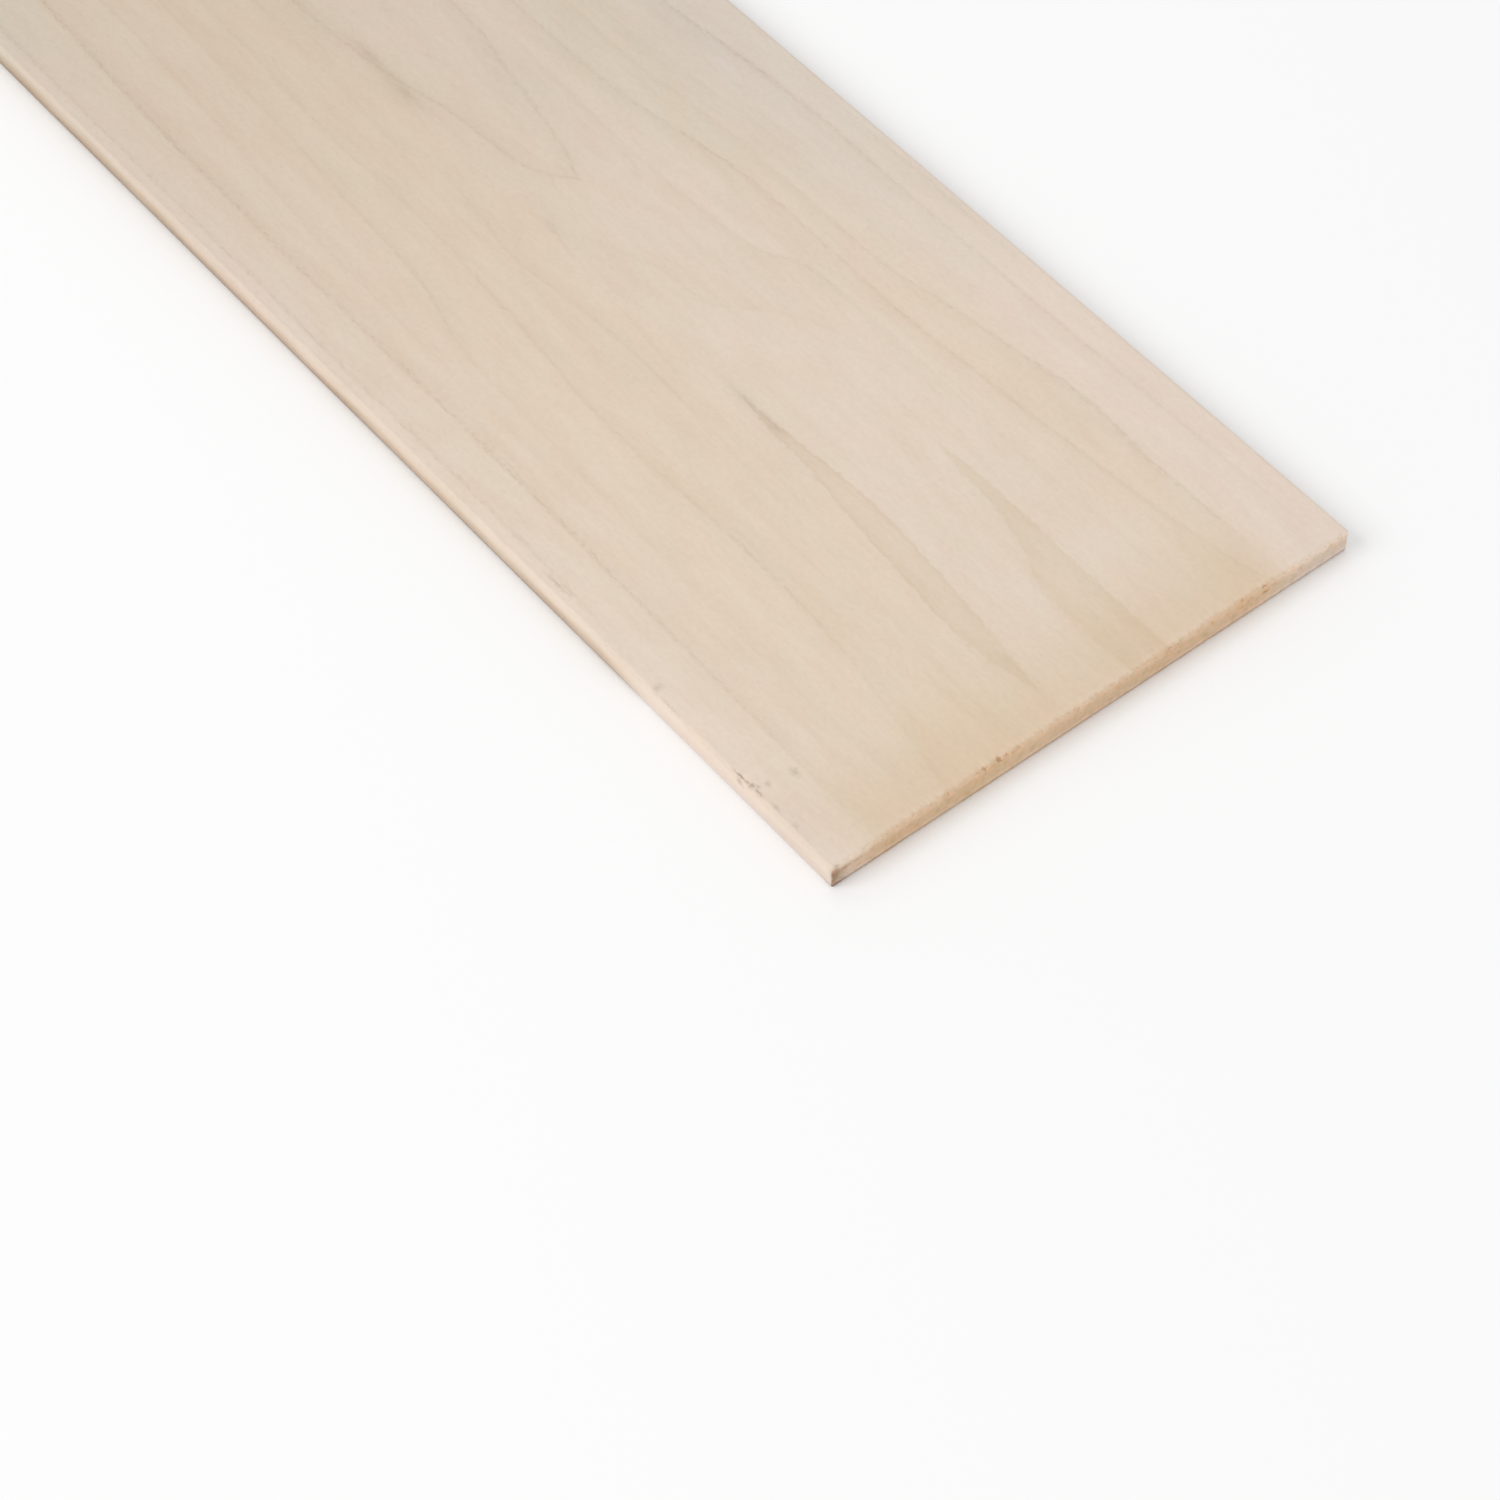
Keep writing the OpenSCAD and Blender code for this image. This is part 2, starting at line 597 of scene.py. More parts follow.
# Growth rings that run the board's length, where each leaves the top face: (along, across,
# strength). Latewood darkens from the pith's side up to the ring's line, and fades just past it.
FRONT_RINGS = [
    [(0, 1.0, 0), (60, 1.5, 0.1), (100, 3.3, 0.8), (300, 3.3, 0.8), (600, 2.4, 0.7), (914, 1.4, 0.6)],
    [(0, 11.5, 0.5), (60, 12, 0.8), (130, 13, 0.95), (200, 12.7, 0.9), (280, 14.5, 1), (320, 17, 0.9),
     (470, 18, 0.8), (700, 14.5, 0.7), (914, 12, 0.8)],
    [(0, 18.5, 0.1), (50, 18.5, 0.3), (150, 20.5, 0.35), (200, 21, 0.55), (230, 23.2, 0.55), (275, 26, 0.6),
     (450, 28, 0.5), (700, 25, 0.5), (914, 22, 0.6)],
    [(0, 24.5, 0.2), (50, 23, 0.4), (130, 25, 0.5), (155, 26, 0.6), (175, 30.5, 0.7), (210, 33.3, 0.6),
     (280, 36.5, 0.55), (450, 38, 0.7), (700, 35, 0.7), (914, 33, 0.7)],
    [(0, 30.5, 0.5), (20, 33.5, 0.55), (45, 37, 0.65), (75, 38.1, 0.7), (115, 37, 0.65), (155, 40, 0.7),
     (200, 42.5, 0.55), (220, 41.8, 0.6), (270, 44, 0.55), (400, 47, 0.8), (700, 44, 0.7), (914, 42, 0.8)],
    [(0, 46, 0.2), (60, 46.5, 0.35), (110, 47.5, 0.25), (155, 48, 0.3), (190, 49.3, 0.35), (230, 52.5, 0.45),
     (400, 55, 0.4), (700, 53, 0.4), (914, 51, 0.4)],
    [(0, 47.8, 0.1), (26, 49, 0.35), (60, 51, 0.3), (90, 52.6, 0.4), (115, 53.8, 0.55), (135, 54, 0.6),
     (154, 52.9, 0.55), (171, 51.2, 0.65), (185, 53.2, 0.6), (215, 55, 0.1), (250, 57, 0)],
    [(55, 54, 0), (75, 55, 0.3), (95, 56.3, 0.4), (120, 58, 0.35), (142, 60, 0.35), (160, 61.3, 0.45),
     (172, 63.2, 0.6), (177, 65, 0)],
    [(100, 98, 0), (110, 92, 0.3), (122, 86, 0.45), (129, 79, 0.5), (134, 75.6, 0.5), (148, 74, 0.45),
     (160, 69, 0.2), (172, 66, 0)],
]
BACK_RINGS = [
    [(0, 102.5, 0.1), (30, 102, 0.3), (45, 101, 0.4), (80, 100.5, 0.4), (115, 100.5, 0.5), (128, 100, 0.7),
     (136, 96, 0.7), (145, 93.5, 0.5), (170, 92, 0.5), (222, 92.4, 0.4), (240, 92.5, 0), (300, 94, 0.3),
     (500, 98, 0.5), (914, 96, 0.5)],
    [(0, 118, 0.5), (8, 115.5, 0.6), (25, 113, 0.6), (52, 110.5, 0.7), (80, 108.4, 0.75), (110, 107, 0.75),
     (155, 107, 0.7), (170, 105.2, 0.9), (185, 103, 0.7), (195, 101.5, 0.7), (225, 100.3, 0.7),
     (300, 101.5, 0.6), (500, 106, 0.7), (914, 103, 0.7)],
    [(0, 121, 0.4), (40, 120.5, 0.9), (60, 121.5, 1), (77, 119.5, 0.9), (100, 116.5, 0.7), (125, 113, 0.7),
     (150, 113, 0.5), (185, 111.5, 0.5), (205, 110, 0.5), (300, 110, 0.5), (500, 113.5, 0.6),
     (914, 111, 0.5)],
    [(98, 125, 0), (110, 123, 0.25), (130, 121, 0.3), (158, 119.6, 0.4), (175, 118.6, 0.4), (225, 115, 0.4),
     (300, 115, 0.4), (500, 119, 0.5), (914, 117, 0.5)],
    [(60, 124, 0), (80, 122.5, 0.2), (95, 123.5, 0)],
    [(0, 133.6, 0.4), (25, 133.3, 0.6), (60, 132.3, 0.6), (100, 131.5, 0.7), (155, 131.5, 0.7), (190, 130, 1),
     (213, 127.5, 1), (300, 126.5, 0.8), (500, 129, 0.7), (914, 127.5, 0.7)],
    [(90, 137.5, 0), (110, 137.5, 0.6), (150, 137.5, 0.6), (170, 137.5, 0)],
]
# Rings that the top face only just cuts, as an eye, a tongue and arches:
# (along, middle across, half width)
EYE = [(0, 60.8, -1), (12, 60.8, 0.8), (20, 60.5, 2.2), (30, 60.8, 3.1), (50, 62.6, 3.4), (70, 64, 2.9),
       (85, 64.4, 1.6), (95, 64.2, 1.1), (102, 64.4, 0.5), (108, 64.6, 0.1), (113, 64.7, -1)]
TONGUE = [(0, 84.2, 5.2), (20, 84.2, 5.1), (28, 84.4, 4.9), (38, 86.3, 3.2), (50, 87.9, 1.7), (60, 88.4, 1.2),
          (69, 88.4, 0.5), (74, 88.4, -0.5), (90, 88.4, -5)]
ARCHES = [
    [(176, 77.5, -2), (181, 77, 0.3), (190, 75.5, 5), (205, 76, 7.6), (215, 76.4, 8.9), (238, 76, 13),
     (330, 75, 16), (450, 75.5, 19), (914, 75, 21)],
    [(325, 76.5, -2), (332, 76, 0.3), (350, 76, 4), (400, 75.5, 8), (520, 76, 12), (914, 75, 15)],
    [(512, 76, -2), (520, 76, 0.3), (545, 76, 4), (610, 75.5, 7.5), (760, 76, 10.5), (914, 76, 12)],
    [(728, 75.5, -2), (736, 75.5, 0.3), (760, 75.5, 3.5), (830, 75, 6.5), (914, 75.5, 8.5)],
]
ARCH_STRENGTH = 0.75
# Rings that only the underside cuts: (along, depth of the crest, strength)
INNER_RINGS = [
    [(0, 1.0, 0.6), (250, 1.6, 0.8), (500, 0.9, 0.7), (914, 1.5, 0.6)],
    [(0, 2.6, 0.7), (200, 3.4, 0.8), (420, 2.4, 0.7), (700, 3.1, 0.7), (914, 2.7, 0.7)],
    [(0, 4.3, 0.7), (180, 5.3, 0.7), (330, 6.6, 0.6), (480, 6.2, 0.6), (620, 4.6, 0.7), (914, 4.4, 0.7)],
]
# How much narrower their latewood is, and a depth that none of them reaches
INNER_SCALE = 2.5
INNER_LIMIT = 10
# How dark latewood is, against the distance in from the ring's line
LATEWOOD_SPAN = (-1.6, 5.0)
LATEWOOD = [(-1.4, 0), (-0.8, 0.12), (-0.35, 0.45), (0.0, 0.78), (0.25, 0.8), (0.6, 0.62), (1.2, 0.46),
            (2.6, 0.3), (4.8, 0)]


def in_span(inwards, scale=1.0):
    """A distance in from a ring's line, as a share of the latewood's span."""
    start, end = LATEWOOD_SPAN
    return math_node("MULTIPLY_ADD", inwards, scale / (end - start), -start / (end - start))


def latewood(share):
    """How dark latewood is at that share of its span."""
    start, end = LATEWOOD_SPAN
    return curve(share, [((a - start) / (end - start), dark) for a, dark in LATEWOOD])


def add_rings(board, dark, rings, coordinate, scale, limit):
    """Adds rings to how dark the latewood is. They are set out along the point's ring coordinate."""
    start, end = LATEWOOD_SPAN
    place_in_span = in_span(coordinate, scale)
    for points in rings:
        where = curve(board.share_along, [(a / LENGTH, b / limit) for a, b, _ in points])
        strength = curve(board.share_along, [(a / LENGTH, c) for a, _, c in points])
        inwards = math_node("MULTIPLY_ADD", where, -scale * limit / (end - start), place_in_span)
        dark = math_node("MAXIMUM", dark, latewood(inwards) * strength)
    return dark


def inside(board, points):
    """How far inside an eye or arch a point is, in mm across the board."""
    middle = curve(board.share_along, [(a / LENGTH, b / WIDTH) for a, b, _ in points])
    half = curve(board.share_along, [(a / LENGTH, c / WIDTH) for a, _, c in points])
    away = math_node("MULTIPLY_ADD", middle, -WIDTH, board.ring)
    return math_node("MULTIPLY_ADD", half, WIDTH, 0 - math_node("ABSOLUTE", away))


def ring_lines(board):
    """How dark the latewood is, 0 to 1."""
    dark = add_rings(board, 0.0, FRONT_RINGS, board.ring, 1, WIDTH)
    dark = add_rings(board, dark, BACK_RINGS, board.ring, -1, WIDTH)
    for points in ARCHES:
        dark = math_node("MAXIMUM", dark, latewood(in_span(inside(board, points))) * ARCH_STRENGTH)
    # None of these rings shows where the inner ones are cut.
    dark = dark * ramp(board.inner, 0.3, 0.1)
    return add_rings(board, dark, INNER_RINGS, board.inner, INNER_SCALE, INNER_LIMIT)


# ---------------------------------------------------------------- the wood's colour

SAPWOOD = (0.8, 0.68, 0.565)
# Tints multiply a colour, and a tint below 1 darkens it.
LATEWOOD_TINT = (0.93, 0.92, 0.895)
LATEWOOD_FLECKS = (0.91, 0.905, 0.89)
YELLOW_TINT = (0.985, 0.97, 0.91)
# Painted shade: the light falling off along the board, darker towards the far end
FAR_SHADE_TINT = (0.87, 0.865, 0.86)

# Soft patches of colour: (along, reach, across, reach, tint)
PATCHES = [
    # Wide and faint, over the planed face
    (200, 100, 126, 24, (0.93, 0.98, 1.01)),
    (140, 45, 126, 8, (0.975, 0.985, 0.985)),
    (310, 60, 4, 16, (0.95, 0.985, 0.985)),
    (312, 22, 9, 22, (0.965, 1.0, 0.995)),
    (215, 80, 37, 13, (1.0, 1.015, 1.025)),
    (200, 110, 68, 18, (0.985, 0.985, 0.967)),
    (205, 50, 104, 12, (0.965, 1.0, 0.99)),
    (185, 60, 115, 10, (0.995, 1.0, 1.02)),
    (160, 65, 137, 9, (0.972, 0.997, 1.0)),
    (195, 42, 3, 8, (1.01, 1.005, 1.02)),
    (215, 40, 86, 11, (0.965, 0.985, 0.99)),
    (262, 26, 60, 9, (0.95, 0.955, 0.945)),
    # By the near end
    (0, 38, 38, 14, (0.993, 0.985, 0.965)),
    (0, 38, 86, 14, (0.993, 0.985, 0.965)),
    (0, 40, 112, 9, (0.99, 0.975, 0.945)),
    (60, 45, 115, 5.5, (0.985, 0.975, 0.95)),
    (68, 24, 116.5, 4.5, (0.98, 0.978, 0.97)),
    (12, 20, 1.5, 9, (0.935, 0.925, 0.91)),
    # The eye's near tip
    (17, 6, 60.8, 2.0, (0.965, 0.95, 0.93)),
    (20, 30, 60.5, 4.0, (0.98, 0.965, 0.945)),
    # The eye's far tip, dark and drawn out
    (97, 15, 63.8, 2.6, (0.94, 0.94, 0.935)),
    (96.5, 4.5, 64.7, 1.6, (0.94, 0.935, 0.93)),
    (97.5, 5.0, 64.6, 0.7, (0.9, 0.895, 0.89)),
    (105.0, 7.0, 64.5, 0.7, (0.88, 0.88, 0.885)),
    (110, 14, 64.7, 2.0, (0.965, 0.96, 0.96)),
    # The grey stain by the first arch
    (232, 24, 62.5, 6.0, (0.94, 0.935, 0.915)),
    (228, 12, 62.8, 3.2, (0.925, 0.92, 0.9)),
    (226, 6, 63.4, 1.6, (0.9, 0.89, 0.87)),
    (241, 9, 64.2, 1.6, (0.88, 0.875, 0.86)),
    (251, 4, 76, 1.8, (0.94, 0.93, 0.92)),
    (233, 1.6, 74.5, 0.9, (0.88, 0.88, 0.88)),
    # Where rings run close together or turn
    (184, 3.5, 72.5, 1.6, (0.95, 0.965, 0.91)),
    (173, 4.5, 63.4, 2.0, (0.92, 0.91, 0.905)),
    (174, 3.5, 88, 1.4, (0.925, 0.925, 0.91)),
    (222, 14, 106, 3.5, (0.975, 0.975, 0.975)),
    (153, 8, 99, 3.5, (0.975, 0.972, 0.975)),
]
# Where the wood between the rings is yellower: (across, strength)
YELLOW_BANDS = [(0, 0.1), (14, 0.3), (28, 0.5), (42, 0.7), (56, 0.6), (70, 0.05), (98, 0.05), (112, 0.4),
                (124, 0), (139, 0)]


def eye_and_tongue(board, colour):
    """Two small shapes near the near end, where the top face only just cuts a ring."""
    fray = board.fray
    eye = inside(board, EYE) + fray
    colour = stain(colour, ramp(eye, -0.6, 0.6) * ramp(eye, 9.0, -1.0), (0.95, 0.935, 0.9))
    rim = ramp(eye, -0.3, 0.1) * ramp(eye, 0.9, 0.1) * ramp(board.along, 16, 40)
    colour = stain(colour, rim, (0.95, 0.945, 0.935))
    tongue = inside(board, TONGUE) + 1.3 * fray
    colour = stain(colour, ramp(tongue, -0.4, 0.3) * ramp(tongue, 9.0, -1.0), (0.94, 0.925, 0.87))
    band = ramp(tongue, -3.2, 0) * ramp(tongue, 0.4, 0)
    in_front = band * ramp(board.ring, 87, 84) * ramp(board.along, 50, 36)
    colour = stain(colour, in_front, (0.975, 0.965, 0.945))
    outline = ramp(tongue, -0.5, 0) * ramp(tongue, 1.1, 0.3) * ramp(board.along, 28, 46)
    return stain(colour, outline, (0.985, 0.99, 1.0))


def grown(board, dark):
    """The colour that grew: latewood, an eye and a tongue of it, and slow changes of tone. Also painted
    shade, darker towards the far end.
    """
    flecks = ramp(noise(board, 1.8, 0.7, 23), -0.4, 0.7)
    colour = stain(SAPWOOD, dark, LATEWOOD_TINT)
    colour = stain(colour, ramp(dark, 0.3, 0.75) * flecks, LATEWOOD_FLECKS)
    colour = eye_and_tongue(board, colour)
    yellow = curve_across(board.ring * (1 / WIDTH), YELLOW_BANDS)
    colour = stain(colour, yellow, YELLOW_TINT)
    colour = stain(colour, ramp(board.ring, 10, 3), (1.03, 1.03, 1.05))
    colour = stain(colour, ramp(board.ring, 119, 128), (1.01, 1.015, 1.04))
    # Painted shade, darker from 70 mm on towards the far end as the light falls off
    colour = stain(colour, ramp(board.along, 70, 320), FAR_SHADE_TINT)
    frayed = board.joined(board.along + 6 * board.fray, board.across + 1.6 * board.fray, 0.0)
    for *spot, tint in PATCHES:
        colour = stain(colour, blob(frayed, *spot), tint)
    colour = stain(colour, ramp(board.tone, -0.6, 1.1), (0.98, 0.975, 0.965))
    return stain(colour, ramp(noise(board, 17, 7, 41), -0.4, 0.5), (1.006, 0.985, 0.982))


def planed(board, colour, fibre, streak, vessel):
    """Fibres, streaks, flecks, pores and vessels, cut along the grain."""
    colour = stain(colour, ramp(fibre, -1.2, 1.6), (0.983, 0.98, 0.976))
    colour = stain(colour, ramp(streak, -0.9, 1.1), (0.973, 0.97, 0.962))
    colour = stain(colour, ramp(noise(board, 1.6, 0.9, 55, 2), -0.9, 1.1), (0.96, 0.957, 0.952))
    colour = stain(colour, ramp(noise(board, 0.9, 0.5, 57, 0), 0.95, 1.4), (0.94, 0.93, 0.91))
    return stain(colour, vessel, (0.95, 0.94, 0.92))


# ---------------------------------------------------------------- the sawn ends

# The ends have yellowed in the middle and not by the sides: (across, where it is full)
MIDDLE_FROM_FRONT = (4, 16)
MIDDLE_FROM_BACK = (129, 110)
# How far in from an end the wood has yellowed, and its rim: (from, full at)
AGED_REACH = 28
RIM = (2.6, 0.2)
# The sawn face's tone down from the top, in bands of depth: (from, full at, tint). The first darkens all but
# the top, which stays light as painted light of the rounded top arris; the last is painted shade along the
# lower arris, where the end meets the floor.
END_BANDS = [(0.0, 2.4, (0.91, 0.905, 0.9)), (3.9, 5.1, (1.08, 1.13, 1.245)),
             (5.2, 5.65, (0.76, 0.74, 0.725))]
# Its lower part towards the front corner and the back one: (across, where it is full)
LOWER_FRONT = (28, 14)
LOWER_BACK = (118, 130)
# Large, small and torn spots on it, in bands of a random number
BLOTCHES = [(0.1, 0.9, (0.93, 0.96, 0.91)), (-0.1, -0.9, (0.995, 0.93, 0.86))]
MOTTLE = [(0.0, 0.9, (0.92, 0.91, 0.84)), (0.0, -0.9, (1.06, 1.02, 1.01))]
TORN_SPOTS = [(0.05, 0.4, (0.9, 0.88, 0.85))]
# A chip's brown, partly painted shade, reaches across this many times the chip's half width.
CHIP_BROWN_REACH = 1.5
CHIP_BROWN_AND_SHADE = (0.7, 0.58, 0.48)
# Chips and small spots are brown on the near end only: (along, where it is full)
NEAR_END = (20, 10)
# Small brown spots on the near end: (across, reach, depth, reach, strength). A strength over 1
# widens a spot's dark middle.
END_SPOTS = [
    (0.8, 2.6, 1.9, 2.2, 1.5), (0.4, 1.6, 4.2, 3.2, 1.2), (3.2, 3.0, 2.0, 1.5, 1), (6.2, 4.0, 2.0, 1.4, 0.6),
    (12.0, 6.0, 1.9, 1.1, 0.25), (0.8, 3.0, 5.9, 1.8, 1.5), (30.5, 1.8, 2.3, 0.8, 0.5),
    (34.5, 1.2, 1.4, 0.7, 0.4), (39.6, 0.9, 1.7, 0.8, 0.6), (45.0, 1.6, 1.2, 0.6, 0.4),
    (109.7, 1.0, 2.4, 0.8, 0.5), (112.2, 1.4, 1.6, 1.2, 0.5), (116.1, 1.5, 2.3, 0.9, 0.9),
    (118.8, 1.8, 1.7, 0.6, 0.6),
]
SPOT_TINT = (0.66, 0.56, 0.47)
# Where the sawn end's top arris is more orange: (across, strength)
WARM_END = [(0, 0), (30, 0), (36, 0.7), (44, 0.9), (52, 0.2), (96, 0.1), (102, 0.9), (114, 1), (122, 0)]


def yellowed(board, colour, middle, rim):
    """The last few centimetres of the planed faces, and the paler, frayed rim of the top one."""
    aged = ramp(board.from_end + 5 * board.tone, AGED_REACH, 0)
    colour = stain(colour, aged * middle, (0.95, 0.905, 0.83))
    colour = stain(colour, rim * (0.1 + 0.9 * middle), (0.99, 0.97, 0.945))
    top_rim = ramp(board.from_end, *RIM) * ramp(board.depth, 2.6, 0.8) * (0.3 + 0.7 * middle)
    colour = stain(colour, top_rim, (1.05, 1.065, 1.11))
    teeth = noise(board, 2.5, 0.9, 95)
    frayed = ramp(board.from_end - 0.8 * teeth + 0.3 * board.torn, 1.2, 0.2)
    return stain(colour, top_rim * frayed, (0.93, 0.89, 0.84))


def end_face(board, colour, end_grain, middle):
    """The end grain: light at the top as painted light of its rounded arris, darker just below, pale near the
    underside and dark at its lower arris as painted shade.
    """
    colour = stain(colour, end_grain, (1.14, 1.1, 1.08))
    # The first band leaves the top light, as painted light; the last is painted shade along the lower arris.
    colour = banded(colour, end_grain, board.depth, END_BANDS)
    colour = stain(colour, end_grain * ramp(board.depth, 0.5, 2.4) * middle, (0.985, 0.955, 0.88))
    clean = end_grain * ramp(middle, 1, 0)
    # Painted light: the top of the end face by the sides, lighter as if its rounded arris caught the light.
    colour = stain(colour, clean * ramp(board.depth, 1.8, 0.2), (1.04, 1.065, 1.085))
    lower = end_grain * ramp(board.depth, 1.4, 2.6)
    colour = stain(colour, lower, (0.965, 0.952, 0.965))
    front = lower * ramp(board.across, *LOWER_FRONT)
    colour = stain(colour, front, (0.965, 0.93, 0.88))
    # Painted shade: the foot of the end towards the front corner, darker where it meets the floor.
    colour = stain(colour, front * ramp(board.depth, 5.3, 5.8), (0.91, 0.9, 0.88))
    colour = stain(colour, lower * ramp(board.across, *LOWER_BACK), (0.955, 0.965, 0.94))
    colour = banded(colour, end_grain, noise(board, 9, 2.4, 91), BLOTCHES)
    colour = banded(colour, end_grain, board.fray, TORN_SPOTS)
    colour = banded(colour, end_grain, noise(board, 3, 1.9, 93), MOTTLE)
    corner = ramp(board.across + 1.5 * board.fray, 4.2, 1.2) * lower
    return stain(colour, corner, (0.84, 0.82, 0.79))


def chip_brown_and_shade(board, near_end):
    """How brown the near end's arris is, at its chips: partly their bared end grain, partly painted shade in
    their hollows.
    """
    points = [(0, 0)]
    for across, reach, depth in NEAR_CHIPS:
        brown_reach = CHIP_BROWN_REACH * reach
        points += [(across - brown_reach, 0), (across, depth), (across + brown_reach, 0)]
    chips = curve_across(board.share_across, points)
    round_end = math_node("ABSOLUTE", board.from_end - board.depth + 0.3 * board.torn)
    return ramp(chips - 0.48 * round_end + 0.3 * board.torn, 0.15, 0.6) * near_end


def torn_arris(board, colour, middle, rim):
    """The end's top arris: brown at its chips, partly bared end grain and partly painted shade, warmer in
    places, with torn fibres and spots.
    """
    near_end = ramp(board.along, *NEAR_END)
    # Brown at the chips: partly end grain, partly painted shade in their hollows.
    colour = stain(colour, chip_brown_and_shade(board, near_end), CHIP_BROWN_AND_SHADE)
    warm = curve_across(board.share_across, WARM_END)
    colour = stain(colour, warm * rim * ramp(board.depth, 3.5, 1.5), (0.99, 0.965, 0.94))
    arris = ramp(board.from_end + 0.5 * board.torn, 1.5, 0.6) * ramp(board.depth, 2.0, 0.8)
    colour = stain(colour, arris * ramp(board.torn, 0.3, 1.0) * middle, (0.88, 0.79, 0.7))
    near = board.joined(board.across + 0.5 * board.torn, board.depth + 0.35 * board.torn, 0.0)
    spots = ramp(darkest(near, END_SPOTS) * ramp(board.facing_end, 0.1, 0.7), 0, 1) * near_end
    colour = stain(colour, spots, SPOT_TINT)
    lifted = ramp(board.from_end, 2.4, 0.8) * ramp(board.depth, 1.2, 0.4) * ramp(board.torn, -0.2, -0.9)
    return stain(colour, lifted, (1.06, 1.06, 1.08))


def sawn(board, colour):
    """Both ends. Also gives how far a point is on end grain, 0 to 1."""
    middle = ramp(board.across, *MIDDLE_FROM_FRONT) * ramp(board.across, *MIDDLE_FROM_BACK)
    rim = ramp(board.from_end + 3 * board.fray, *RIM)
    colour = yellowed(board, colour, middle, rim)
    end_grain = ramp(board.facing_end + 0.12 * board.torn, 0.25, 1.0)
    colour = end_face(board, colour, end_grain, middle)
    return torn_arris(board, colour, middle, rim), end_grain


# ---------------------------------------------------------------- the front side

# Latewood shows low down on the front side, with painted shadow over it, from here on: (along, full at)
BROWN_FROM = (58, 72)
BROWN = (0.765, 0.695, 0.62)
# Bands of depth on the brown part, and on all of the front side: (from, full at, tint). Those from 5.2 mm
# down are painted shade at the side's foot; the brown part's other band darkens it with the rest of its
# painted shadow.
BROWN_BANDS = [(5.2, 5.65, (0.65, 0.58, 0.5)), (0.2, 1.5, (0.965, 0.97, 0.975))]
FRONT_BANDS = [(2.5, 4.6, (0.935, 0.952, 1.0)), (5.2, 5.7, (0.92, 0.92, 0.93))]
# Small dark marks on the front arris and behind it, and painted shade at the foot of the near corner: (along,
# reach, round the front, reach, strength)
MARKS_AND_SHADE = [
    (29.0, 2.8, 0.2, 0.5, 1), (28.8, 1.2, -1.4, 1.0, 0.7), (25.7, 0.9, 0.6, 0.8, 0.9),
    (24.7, 0.7, 1.4, 0.6, 0.6), (23.5, 1.7, 0.5, 0.7, 0.9), (26.8, 2.2, 0.3, 0.5, 0.8),
    (24.1, 1.2, 3.4, 1.0, 0.4), (23.0, 1.9, 9.4, 1.2, 0.45), (18.6, 1.6, 1.0, 0.7, 0.35),
    # The one at 0.8 along and -6.2 round the front is painted shade at the corner's foot.
    (12.6, 1.4, 1.2, 0.8, 0.3), (0.8, 2.4, -6.2, 1.2, 0.7), (0.2, 1.2, -2.2, 2.0, 0.5),
    (56.8, 1.2, 1.4, 2.2, 0.35), (51.5, 6.0, 0.2, 0.5, 0.4), (91, 5.0, 2.2, 0.6, 0.45),
]
MARK_AND_SHADE_TINT = (0.4, 0.36, 0.32)


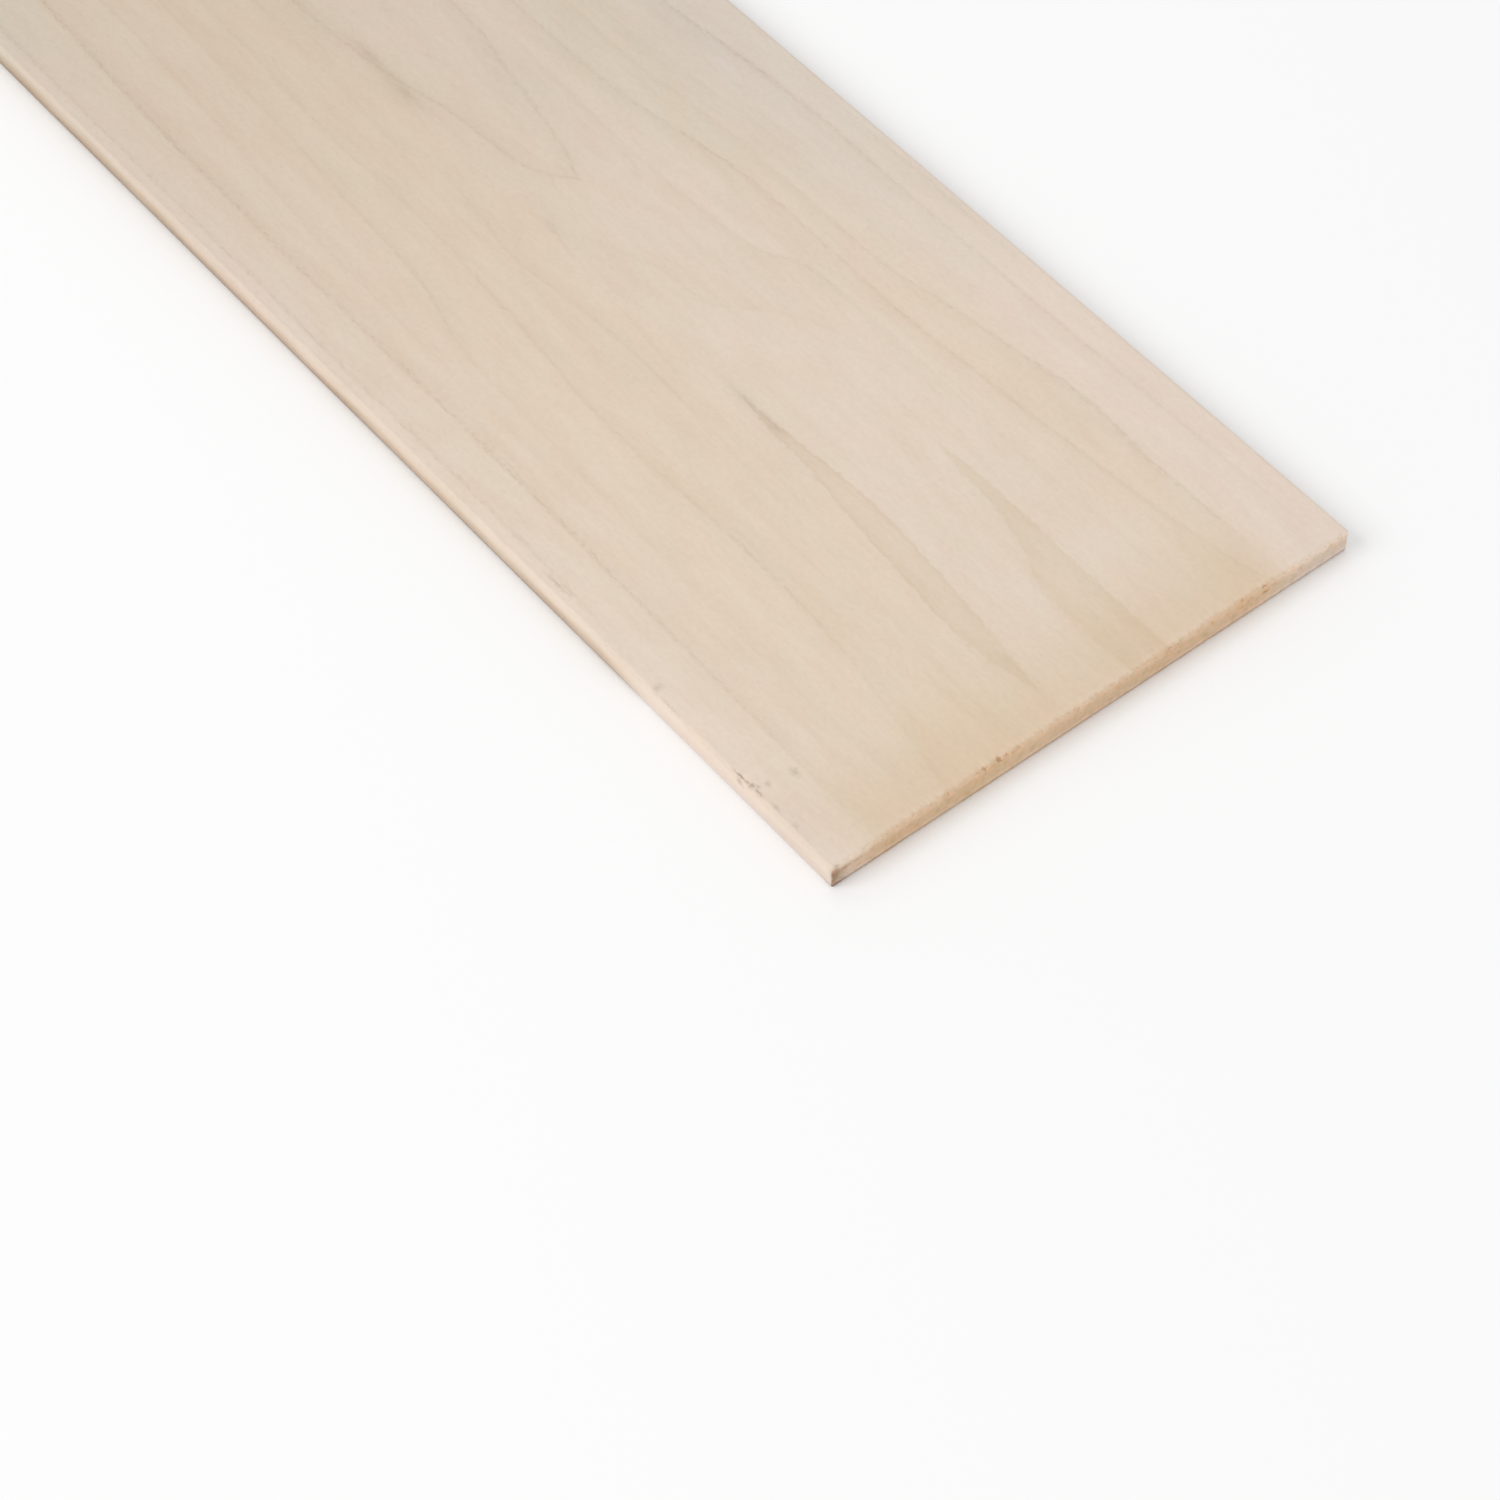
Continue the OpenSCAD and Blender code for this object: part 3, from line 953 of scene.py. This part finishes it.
def marked(board, colour):
    """The front side: brown low down, partly leaves of latewood and partly painted shadow, painted shade at
    its foot and round its arris, and small dark marks, one of them painted shade.
    """
    front = ramp(board.across, 1.1, 0.3)
    # Past BROWN_FROM the side is brown low down and darker above: partly latewood, partly painted shadow.
    brown = ramp(board.along + 5 * board.tone, *BROWN_FROM) * front
    lower = ramp(board.depth + noise(board, 14, 2, 101, 0) * 0.6, 1.2, 6.0) * brown
    colour = stain(colour, lower, BROWN)
    upper = ramp(board.depth, 0.8, 2.4) * brown
    colour = stain(colour, upper, (0.985, 0.972, 0.932))
    colour = stain(colour, upper * ramp(board.along, 190, 260), (0.955, 0.938, 0.91))
    # The bands from 5.2 mm down are painted shade at the foot of the side.
    colour = banded(colour, brown, board.depth, BROWN_BANDS)
    colour = banded(colour, front, board.depth, FRONT_BANDS)
    # Painted shade: a darker band round the front arris that damps its highlight.
    arris = ramp(board.round_front, 1.4, 0.2) * ramp(board.round_front, -1.6, -0.4)
    colour = stain(colour, arris, (0.94, 0.94, 0.935))
    frayed = board.joined(board.along + 0.6 * board.torn, board.round_front + 0.35 * board.torn, 0.0)
    return stain(colour, darkest(frayed, MARKS_AND_SHADE) * ramp(board.across, 20, 12), MARK_AND_SHADE_TINT)


# ---------------------------------------------------------------- the whole material and the scene

# How rough planed wood is, and how much end grain and fibres add
PLANED_ROUGHNESS = 0.62
SAWN_ROUGHNESS = 0.2
FIBRE_ROUGHNESS = 0.05
SPECULAR = 0.3
# Relief too fine for the mesh, in metres, and the shares of it that fibres and vessels take
RELIEF = 0.02 * MM
FIBRE_SHARE = 0.4
VESSEL_SHARE = 0.8


def poplar():
    """The board's one material."""
    material = bpy.data.materials.new("poplar_planed")
    material.use_nodes = True
    Field.tree = material.node_tree
    shader = material.node_tree.nodes["Principled BSDF"]
    board = Board()
    fibre = noise(board, 4, 0.5, 51, 2)
    streak = noise(board, 13, 2.4, 61)
    vessel = ramp(noise(board, 2.6, 0.17, 71, 0), 1.0, 1.5)
    colour = grown(board, ring_lines(board))
    colour = planed(board, colour, fibre, streak, vessel)
    colour, end_grain = sawn(board, colour)
    colour = marked(board, colour)
    feed(shader.inputs["Base Color"], colour)
    roughness = PLANED_ROUGHNESS + SAWN_ROUGHNESS * end_grain + FIBRE_ROUGHNESS * fibre
    feed(shader.inputs["Roughness"], roughness)
    shader.inputs["Specular IOR Level"].default_value = SPECULAR

    relief = add_node("ShaderNodeBump")
    feed(relief.inputs["Height"], FIBRE_SHARE * fibre - VESSEL_SHARE * vessel)
    relief.inputs["Distance"].default_value = RELIEF
    relief.inputs["Strength"].default_value = 1.0
    feed(shader.inputs["Normal"], Field(relief.outputs[0]))
    return material


add_camera()
add_floor()
add_lights()
board = add_board()
board.data.materials.append(poplar())
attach(board, "root")
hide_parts("poplar_board")
bpy.context.scene.view_settings.view_transform = "Standard"
